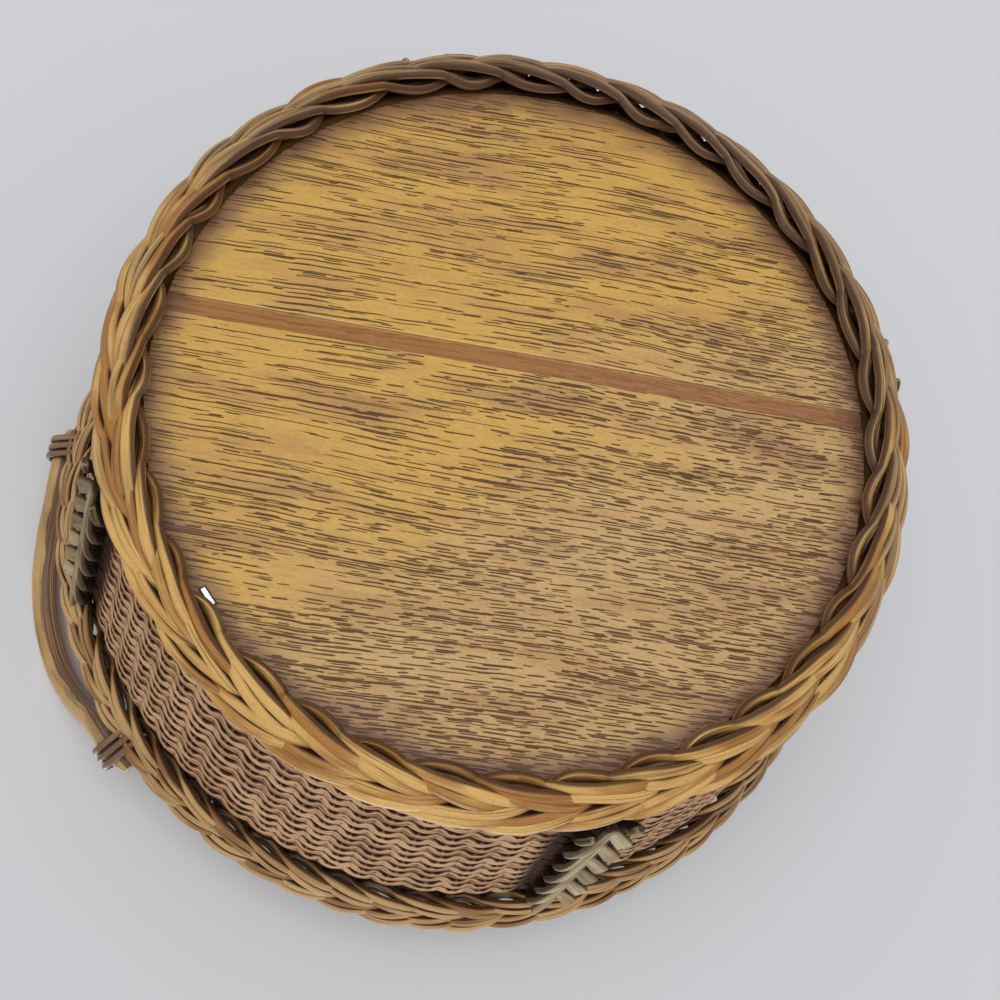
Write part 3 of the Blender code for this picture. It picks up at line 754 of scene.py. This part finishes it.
# The stakes are near black: partly their own dark colour, partly painted shade of the shadowed gap
# between the wall's top row and the rim border.
dark_stake = rod_finish(
    "dark_stake",
    light=tint(72, 50, 46),
    middle=tint(50, 34, 34),
    dull=tint(58, 44, 46),
    dark=tint(26, 14, 14),
    roughness=0.9,
    varnish=0.0,
    sheen=0.02,
)
rim_height = 0.148854
stake_count = 96
stake_half_width = 0.0052
stake_half_thickness = 0.0019
stake_end = rim_height + 0.0045
stake_foot = foot_height + 0.0040
stake_steps = 10
stake_shade = 0.4


def stake_track(turn):
    """The track of one upright stake, in the middle of the wall's thickness."""

    def track(share):
        height = stake_foot + (stake_end - stake_foot) * share
        radius = wall_radius(height) - wall_thickness / 2
        middle = around(turn) * radius + UP * height
        return middle, around(turn), stake_half_width, stake_half_thickness, stake_shade

    return track


stakes = Rods()
for number in range(stake_count):
    turn = math.tau * (number + 0.5) / stake_count
    stakes.add(stake_track(turn), stake_steps, 8, random.Random(number).random(), 0.1)
add_piece("wall_stakes", stakes.bm, dark_stake, "weaver", "woven_wall")

# Rim border
# A second plait of three strands, wider round than the foot, of slender rods in pairs. It binds
# the heads of the stakes and stands out over the wall.

rim_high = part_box("rim_border_strand_1")[1]
rim_inset = 0.0085
rim_lean = math.radians(35.0)
rim_radius = rim_high.x - rim_inset
rim_swing = 0.0053
rim_bulge = 0.0040
rim_waves = 10
rim_start = math.pi / 48
rim_steps = 720
rim_rods = (
    (-0.0016, 0.0, 0.0018, 0.0015),
    (0.0017, 0.0002, 0.0016, 0.0014),
)
tan_rod = rod_finish(
    "tan_rod",
    light=tint(196, 156, 102),
    middle=tint(142, 98, 50),
    dull=tint(120, 92, 66),
    dark=tint(52, 25, 10),
    roughness=0.55,
    varnish=0.08,
)
for index in range(3):
    strand = Rods()
    for half in (0, 1):
        for number, rod in enumerate(rim_rods):
            seed = 2000 + index * 41 + half * 19 + number * 13
            track = plait_track(
                rim_lean, rim_radius, rim_height, rim_swing, rim_bulge, rim_waves,
                rim_start, 2 * index + half, (*rod, seed),
            )
            tone = random.Random(seed).uniform(0.1, 0.95)
            strand.add(track, rim_steps, 8, tone, 0.25, closed=True)
    name = f"rim_border_strand_{index + 1}"
    add_piece(f"rim_border_rods_{index + 1}", strand.bm, tan_rod, "golden_rod", name)

# Wall bands
# Four upright bands, a quarter turn apart, each plaited flat from four straps of grey-olive split
# willow. The straps fold back at the band's edges, and the band lies on the woven rows.

band_half_width = 0.0130
band_half_thickness = 0.0040
strap_half_width = 0.0031
strap_half_thickness = 0.0013
band_foot_gap = 0.0010
band_top_run = 0.0070
band_half_waves = 3
strap_steps = 150
strap_shown = 0.70
touch_gap = 0.0003
band_bottom = wall_bottom + band_foot_gap
band_length = wall_top + band_top_run - band_bottom


def strap_lay(phase):
    """How a strap lies at a phase: its place across the band and out of it, from -1 to 1, and how
    full it shows. It crosses the middle like a leaf, folds at the edge, and dives back."""
    half, share = divmod((phase / math.pi) % 2.0, 1.0)
    side = 1.0 - 2.0 * half
    if share < strap_shown:
        way = share / strap_shown
        swell = math.sin(math.pi * way**1.5)
        across = 0.65 * math.sin(math.pi / 2 * way) + 0.50 * way - 0.15
        return side * across, swell**0.8, swell**0.4
    way = (share - strap_shown) / (1.0 - strap_shown)
    return side * (0.15 + 0.85 * math.cos(math.pi / 2 * way)), -math.sin(math.pi * way), 0.0


def strap_track(turn, index):
    swing = band_half_width - strap_half_width
    bulge = band_half_thickness - strap_half_thickness
    out = around(turn) * math.cos(wall_lean) - UP * math.sin(wall_lean)

    def track(share):
        height = band_bottom + band_length * share
        phase = math.pi * band_half_waves * share + math.tau * index / 4
        sideways, lift, full = strap_lay(phase)
        middle = around(turn) * wall_radius(height) + UP * height
        middle -= along(turn) * swing * sideways
        middle += out * (touch_gap + band_half_thickness + bulge * lift)
        size = min(1.0, 0.35 + 22.0 * min(share, 1.0 - share)) * (0.7 + 0.3 * full)
        shade = 1.0 if lift < 0.0 else 0.85 - 1.1 * full
        return middle, out, strap_half_width * size, strap_half_thickness, shade

    return track


willow = rod_finish(
    "grey_willow",
    light=tint(190, 172, 138),
    middle=tint(150, 130, 98),
    dull=tint(134, 114, 88),
    dark=tint(54, 36, 26),
    roughness=0.8,
    varnish=0.0,
    greying=0.0,
    sheen=0.1,
    flank_shade=0.75,
)
for band in range(4):
    for index in range(4):
        strap = Rods()
        turn = math.tau * band / 4
        tone = random.Random(band * 4 + index + 50).uniform(0.1, 0.9)
        strap.add(strap_track(turn, index), strap_steps, 14, tone, 0.35)
        node = f"wall_band_{band + 1}_strand_{index + 1}"
        name = f"band_{band + 1}_strap_{index + 1}"
        add_piece(name, strap.bm, willow, "grey_strand", node)

# Ear handles
# Two bows of thick cane on the rim, bent hot. The outer face keeps its smooth golden skin, and the
# inner face is darker and browner, with fine lengthwise lines.

handle_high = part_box("ear_handle_2")[1]
handle_half_turn = math.radians(22.5)
handle_rise = 0.0340
handle_reach = 0.0076
handle_tail = 0.0095
handle_half_width = 0.0065
handle_half_thickness = 0.00575
handle_seat = handle_high.x - handle_half_thickness - handle_reach
handle_height = handle_high.z - handle_half_width - handle_rise
handle_steps = 240
bow_shares = (
    # share of the half turn, of the rise and of the reach
    (-1.00, 0.00, 0.00),
    (-0.86, 0.00, 0.00),
    (-0.79, 0.08, 0.05),
    (-0.69, 0.31, 0.23),
    (-0.51, 0.68, 0.60),
    (-0.28, 0.93, 0.91),
    (0.00, 1.00, 1.00),
    (0.28, 0.93, 0.91),
    (0.51, 0.68, 0.60),
    (0.69, 0.31, 0.23),
    (0.79, 0.08, 0.05),
    (0.86, 0.00, 0.00),
    (1.00, 0.00, 0.00),
)


def handle_track(middle_turn):
    """The track of one bow, a smooth curve through its marks, with straight tails past its ends."""
    tail_share = handle_tail / (handle_seat * handle_half_turn)
    marks = ((-1.0 - tail_share, 0.0, 0.0),) + bow_shares + ((1.0 + tail_share, 0.0, 0.0),)
    points = []
    for turn_share, rise, reach in marks:
        turn = middle_turn + turn_share * handle_half_turn
        radius = handle_seat + reach * handle_reach
        points.append(around(turn) * radius + UP * (handle_height + rise * handle_rise))
    last = len(points) - 1

    def track(share):
        spot = min(share * last, last - 1e-9)
        i = int(spot)
        t = spot - i
        a, b, c, d = points[max(i - 1, 0)], points[i], points[i + 1], points[min(i + 2, last)]
        slope = (c - a) * t
        bend = (a * 2 - b * 5 + c * 4 - d) * t**2
        twist = (b * 3 - a - c * 3 + d) * t**3
        middle = b + (slope + bend + twist) / 2
        out = Vector((middle.x, middle.y, 0.0)).normalized()
        end = min(1.0, 0.45 + 9.0 * min(share, 1.0 - share))
        return middle, out, handle_half_width * end, handle_half_thickness * end, 0.0

    return track


cane = rod_finish(
    "ear_cane",
    light=tint(190, 154, 100),
    middle=tint(154, 118, 68),
    dull=tint(136, 108, 74),
    dark=tint(66, 42, 28),
    roughness=0.55,
    varnish=0.1,
    greying=0.3,
    inner_face_colour=tint(112, 82, 62),
)
for number in (1, 2):
    bow = Rods()
    bow.add(handle_track(math.pi * number), handle_steps, 20, 0.45 + 0.1 * number, 0.15)
    add_piece(f"ear_handle_cane_{number}", bow.bm, cane, "cane", f"ear_handle_{number}")

# Lashings
# Three turns of thin cane at each end of each handle, wound tight round the handle and the rim
# border together.

lashing_turns = 3
lashing_pitch = 0.0036
lashing_half_width = 0.0014
lashing_half_thickness = 0.0010
lashing_steps = 48
lashing_clearance = 0.0008
border_marks = 16
border_pad = 0.0010
handle_marks = 24


def lashing_outline():
    """Points on the rim border's middle line and round the handle, in a cut across both, with the
    pad that the lashing keeps from each."""
    points = []
    for index in range(border_marks):
        phase = math.pi * index / border_marks
        x = rim_swing * math.sin(phase)
        y = rim_bulge * math.sin(2 * phase) * 0.3
        radial = x * math.sin(rim_lean) + y * math.cos(rim_lean)
        up = x * math.cos(rim_lean) - y * math.sin(rim_lean)
        points.append((rim_radius + radial, rim_height + up, border_pad))
    for index in range(handle_marks):
        phase = math.tau * index / handle_marks
        points.append((
            handle_seat + handle_half_thickness * math.cos(phase),
            handle_height + handle_half_width * math.sin(phase),
            0.0,
        ))
    return points


def lashing_track(turn):
    outline = lashing_outline()

    def track(share):
        angle = math.pi + math.tau * lashing_turns * share
        radial, up = math.cos(angle), math.sin(angle)
        radius, height, pad = max(
            outline, key=lambda point: point[0] * radial + point[1] * up + point[2]
        )
        offset = lashing_clearance + lashing_half_thickness + pad
        shift = lashing_pitch * lashing_turns * (share - 0.5)
        middle = around(turn) * (radius + radial * offset) + UP * (height + up * offset)
        out = around(turn) * radial + UP * up
        return middle + along(turn) * shift, out, lashing_half_width, lashing_half_thickness, 0.0

    return track


thin_cane = rod_finish(
    "lashing_cane",
    light=tint(168, 128, 84),
    middle=tint(122, 86, 58),
    dull=tint(112, 86, 66),
    dark=tint(44, 26, 22),
    roughness=0.45,
    varnish=0.2,
)
number = 0
for handle_turn in (math.pi, 0.0):
    for side in (-1.0, 1.0):
        number += 1
        turns = Rods()
        turns.add(
            lashing_track(handle_turn + side * handle_half_turn),
            lashing_steps * lashing_turns, 10, 0.2 * number, 0.1,
        )
        name = f"lashing_cane_{number}"
        add_piece(name, turns.bm, thin_cane, "lashing_cane", f"lashing_{number}")

# Studio
# A pale floor under the standing basket and a pale table that its handles would rest on when it
# is turned over, as in the photograph. Each shows from its own side only and keeps the shadow.

pale = tint(209, 211, 215)
floor_reach = 40.0


def add_floor(name, height, faces_up):
    finish = Finish(name, 0.9)
    finish.feed(finish.shader.inputs["Base Color"], pale)
    back = finish.node("ShaderNodeNewGeometry", {}, {}, "Backfacing")
    clear = finish.node("ShaderNodeBsdfTransparent", {}, {})
    surface = Shade(finish, finish.shader.outputs[0])
    both = finish.node("ShaderNodeMixShader", {}, {0: back, 1: surface, 2: clear})
    finish.feed(finish.tree.nodes["Material Output"].inputs["Surface"], both)
    bm = bmesh.new()
    bmesh.ops.create_grid(bm, x_segments=1, y_segments=1, size=floor_reach)
    if not faces_up:
        bmesh.ops.reverse_faces(bm, faces=bm.faces)
    bmesh.ops.translate(bm, verts=bm.verts, vec=UP * height)
    mesh = bpy.data.meshes.new(name)
    bm.to_mesh(mesh)
    bm.free()
    mesh.materials.append(finish.material)
    floor = bpy.data.objects.new(name, mesh)
    bpy.context.scene.collection.objects.link(floor)
    floor.visible_diffuse = False
    floor.visible_glossy = False
    floor.visible_transmission = False
    floor.visible_shadow = False


add_floor("studio_floor", -0.0002, True)
add_floor("studio_table", cad_box[1][2] + 0.0004, False)

world = bpy.data.worlds.new("studio_light")
bpy.context.scene.world = world
world.use_nodes = True
tree = world.node_tree
sky = tree.nodes["Background"]
backdrop = tree.nodes.new("ShaderNodeBackground")
path = tree.nodes.new("ShaderNodeLightPath")
seen = tree.nodes.new("ShaderNodeMath")
seen.operation = "MAXIMUM"
choice = tree.nodes.new("ShaderNodeMixShader")
sky.inputs["Color"].default_value = (1.0, 1.0, 1.0, 1.0)
sky.inputs["Strength"].default_value = 0.56
backdrop.inputs["Color"].default_value = pale
tree.links.new(path.outputs["Is Camera Ray"], seen.inputs[0])
tree.links.new(path.outputs["Is Glossy Ray"], seen.inputs[1])
tree.links.new(seen.outputs[0], choice.inputs[0])
tree.links.new(sky.outputs[0], choice.inputs[1])
tree.links.new(backdrop.outputs[0], choice.inputs[2])
tree.links.new(choice.outputs[0], tree.nodes["World Output"].inputs["Surface"])


def add_lamp(name, towards, strength, softness):
    """A broad lamp far away, whose light travels towards a direction."""
    light = bpy.data.lights.new(name, "SUN")
    light.energy = strength
    light.angle = math.radians(softness)
    lamp = bpy.data.objects.new(name, light)
    bpy.context.scene.collection.objects.link(lamp)
    lamp.rotation_euler = Vector(towards).to_track_quat("-Z", "Y").to_euler()


view_lean = math.radians(20.73)
view_swing = math.radians(119.7)
view_turn = math.radians(13.0)
view_offset = Vector((0.048, -0.236, 4.371)) * disc_radius
focal_pixels = 1600.0
image_pixels = 1000.0

w_axis = Vector((
    math.sin(view_lean) * math.cos(view_swing),
    math.sin(view_lean) * math.sin(view_swing),
    math.cos(view_lean),
))
u_axis = (Vector((1.0, 0.0, 0.0)) - w_axis * w_axis.x).normalized()
v_axis = w_axis.cross(u_axis)
to_disc = Matrix.Rotation(view_turn, 3, "Z") @ Matrix((u_axis, v_axis, w_axis))
right, down, forward = to_disc.col[0], to_disc.col[1], to_disc.col[2]
camera_data = bpy.data.cameras.new("photo_camera")
camera_data.sensor_width = 36.0
camera_data.lens = camera_data.sensor_width * focal_pixels / image_pixels
camera = bpy.data.objects.new("photo_camera", camera_data)
turned = Matrix((right, -down, -forward)).transposed().to_4x4()
turned.translation = to_disc @ -view_offset + UP * disc_bottom
camera.matrix_world = turned
bpy.context.scene.collection.objects.link(camera)
bpy.context.scene.camera = camera

add_lamp("lamp_below", forward + down * 0.12 - right * 0.06, 1.36, 50.0)
add_lamp("lamp_above", (0.20, -0.55, -0.9), 1.8, 45.0)

bpy.context.scene.view_settings.view_transform = "Standard"
